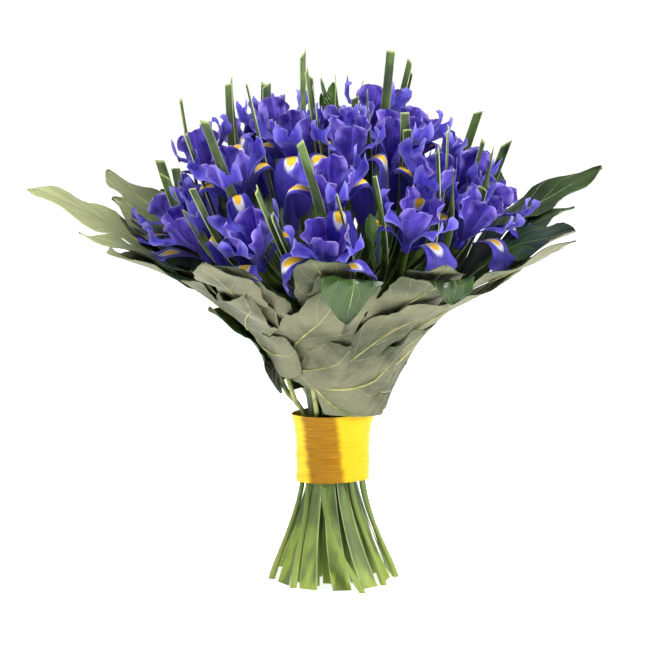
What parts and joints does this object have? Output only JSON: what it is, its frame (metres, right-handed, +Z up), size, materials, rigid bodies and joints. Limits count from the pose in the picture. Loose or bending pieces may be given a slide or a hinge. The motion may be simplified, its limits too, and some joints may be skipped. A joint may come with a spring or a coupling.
{
  "type": "hand-tied iris bouquet",
  "caption": "Hand-tied bouquet of blue irises with strap leaves and a collar of palmate leaves, bound with a yellow satin ribbon, standing on its fanned cut stems.",
  "frame": {"origin": "centre of the middle stem's flat cut end, in the plane that the bouquet stands on", "axes": "+Z up along the bundle, -Y towards the front that the picture shows, +X to the right seen from the front"},
  "size_m": [0.5412, 0.419, 0.5025],
  "materials": {
    "petal": "thin, matte, softly translucent petals, violet-blue, with a yellow signal on each fall",
    "stem": "fresh green stems and ribbed strap leaves, paler and yellower at the cut ends",
    "fatsia": "leathery leaves, glossy dark green above, matte grey-green below with pale ribs",
    "sprig": "small matte green leaves on thin stalks",
    "ribbon": "golden yellow satin ribbon with a soft sheen",
    "twine": "plain twisted binding twine under the ribbon"
  },
  "bodies": {
    "root": {"iris_stem_center": "stem", "iris_stem_inner_1": "stem", "iris_stem_inner_2": "stem", "iris_stem_inner_3": "stem", "iris_stem_inner_4": "stem", "iris_stem_inner_5": "stem", "iris_stem_middle_1": "stem", "iris_stem_middle_2": "stem", "iris_stem_middle_3": "stem", "iris_stem_middle_4": "stem", "iris_stem_middle_5": "stem", "iris_stem_middle_6": "stem", "iris_stem_middle_7": "stem", "iris_stem_middle_8": "stem", "iris_stem_outer_1": "stem", "iris_stem_outer_2": "stem", "iris_stem_outer_3": "stem", "iris_stem_outer_4": "stem", "iris_stem_outer_5": "stem", "iris_stem_outer_6": "stem", "iris_stem_outer_7": "stem", "iris_stem_outer_8": "stem", "iris_stem_outer_9": "stem", "iris_stem_outer_10": "stem", "iris_bloom_center": "petal", "iris_bloom_inner_1": "petal", "iris_bloom_inner_2": "petal", "iris_bloom_inner_3": "petal", "iris_bloom_inner_4": "petal", "iris_bloom_inner_5": "petal", "iris_bloom_middle_1": "petal", "iris_bloom_middle_2": "petal", "iris_bloom_middle_3": "petal", "iris_bloom_middle_4": "petal", "iris_bloom_middle_5": "petal", "iris_bloom_middle_6": "petal", "iris_bloom_middle_7": "petal", "iris_bloom_middle_8": "petal", "iris_bloom_outer_1": "petal", "iris_bloom_outer_2": "petal", "iris_bloom_outer_3": "petal", "iris_bloom_outer_4": "petal", "iris_bloom_outer_5": "petal", "iris_bloom_outer_6": "petal", "iris_bloom_outer_7": "petal", "iris_bloom_outer_8": "petal", "iris_bloom_outer_9": "petal", "iris_bloom_outer_10": "petal", "fatsia_leaf_left": "fatsia", "fatsia_leaf_front_left": "fatsia", "fatsia_leaf_front": "fatsia", "fatsia_leaf_front_right": "fatsia", "fatsia_leaf_right": "fatsia", "fatsia_leaf_back_right": "fatsia", "fatsia_leaf_back": "fatsia", "fatsia_leaf_back_left": "fatsia", "filler_sprig_front": "sprig", "filler_sprig_top": "sprig", "ribbon_band": "ribbon", "twine_tie": "twine"}
  },
  "joints": []
}
